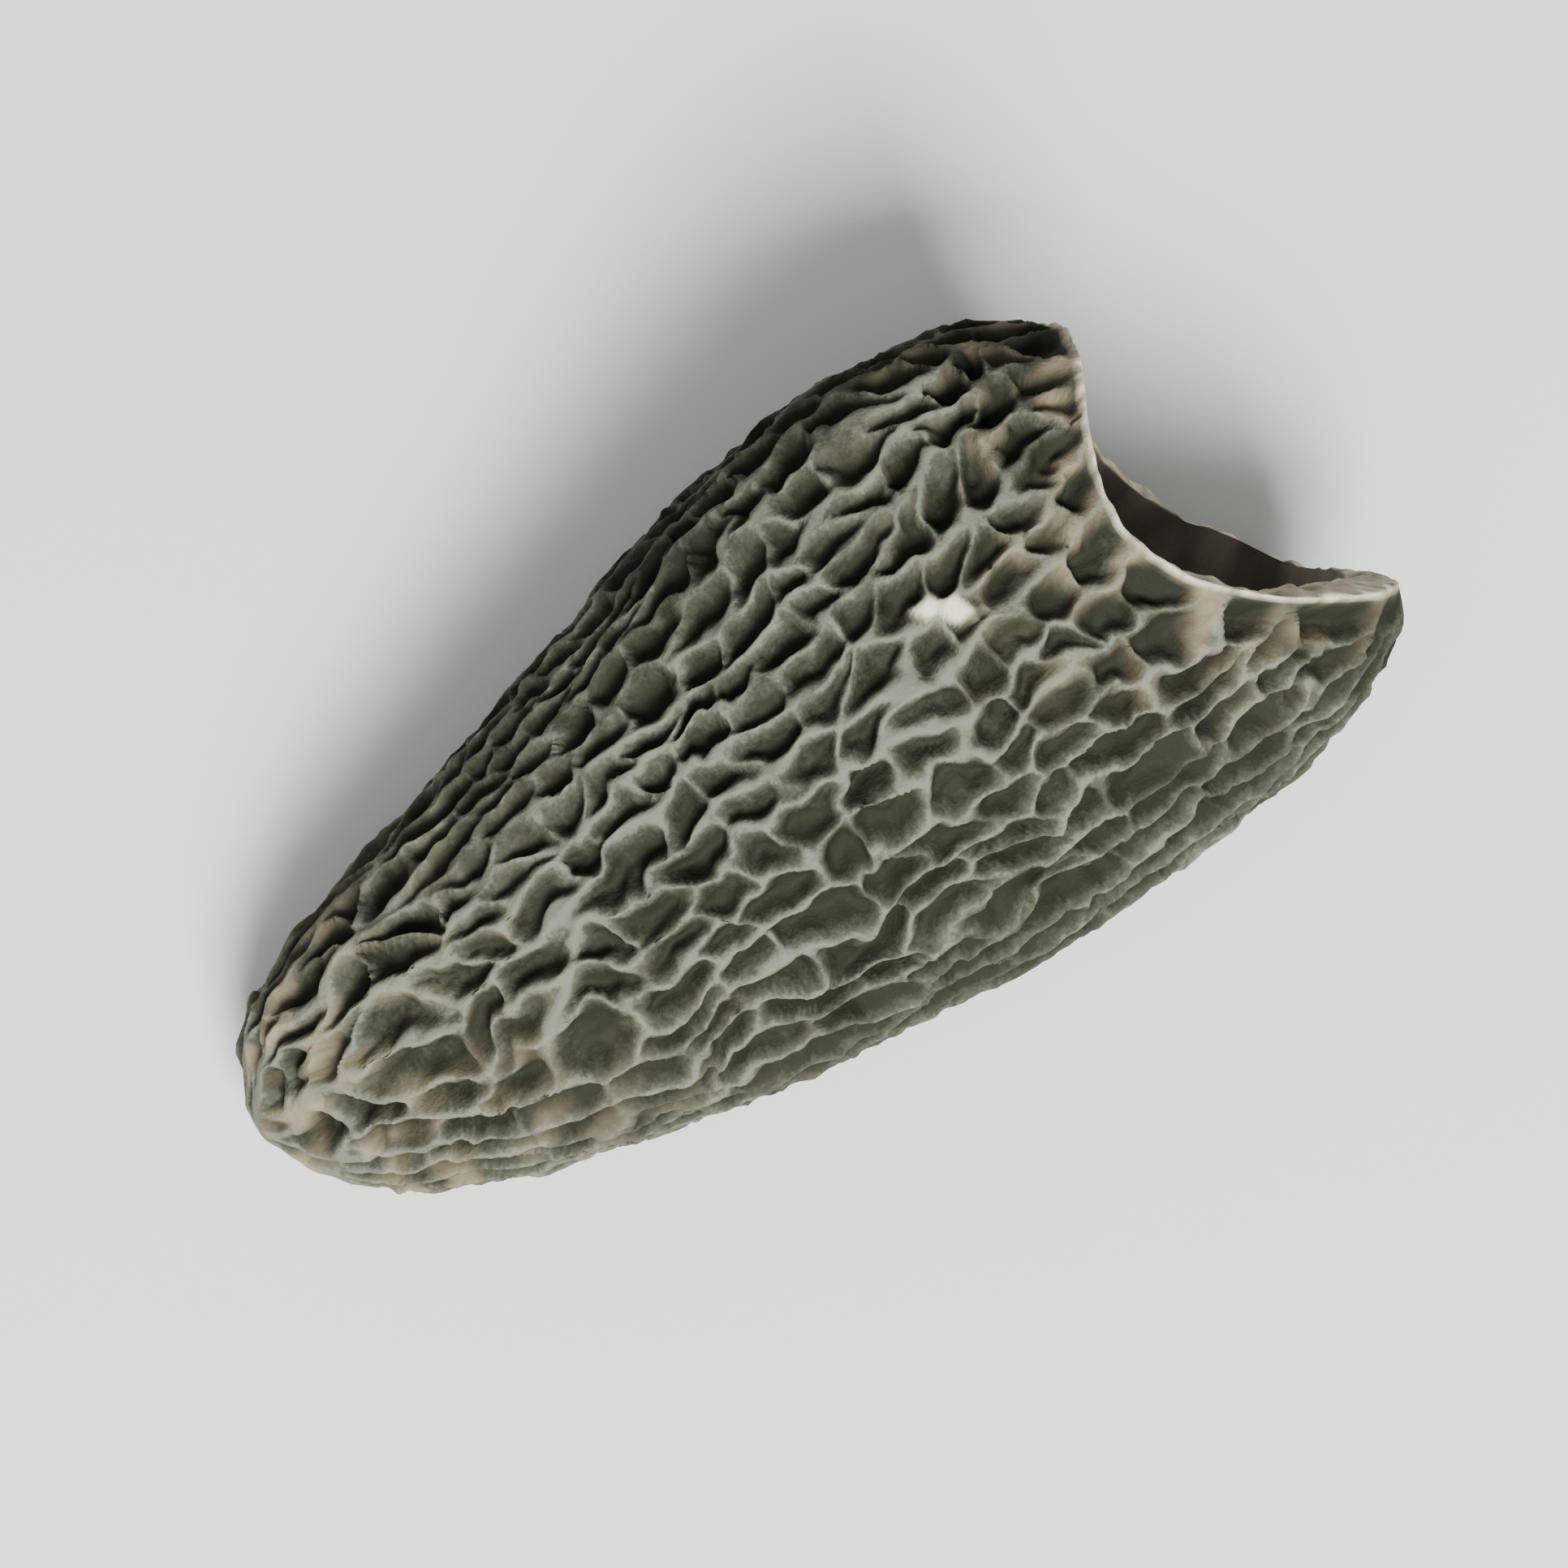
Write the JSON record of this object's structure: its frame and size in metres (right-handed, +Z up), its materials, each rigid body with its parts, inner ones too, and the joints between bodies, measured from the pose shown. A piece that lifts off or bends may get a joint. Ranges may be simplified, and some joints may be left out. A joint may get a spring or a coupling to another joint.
{
  "type": "dried morel mushroom",
  "caption": "Dried black morel cap: a hollow pointed cone netted with sharp ridges round deep dark pits, cut from its stem and lying on its side.",
  "frame": {"origin": "middle of the bounding box's bottom, on the surface that the cap lies on", "axes": "+X from the pointed tip to the cut, open end; +Z up, off the surface that it lies on; +Y to the side that ends shorter"},
  "size_m": [0.0392, 0.0206, 0.0192],
  "materials": {
    "dried_flesh": "matte, dry and leathery"
  },
  "bodies": {
    "root": {"dried_morel": "dried_flesh"}
  },
  "joints": []
}
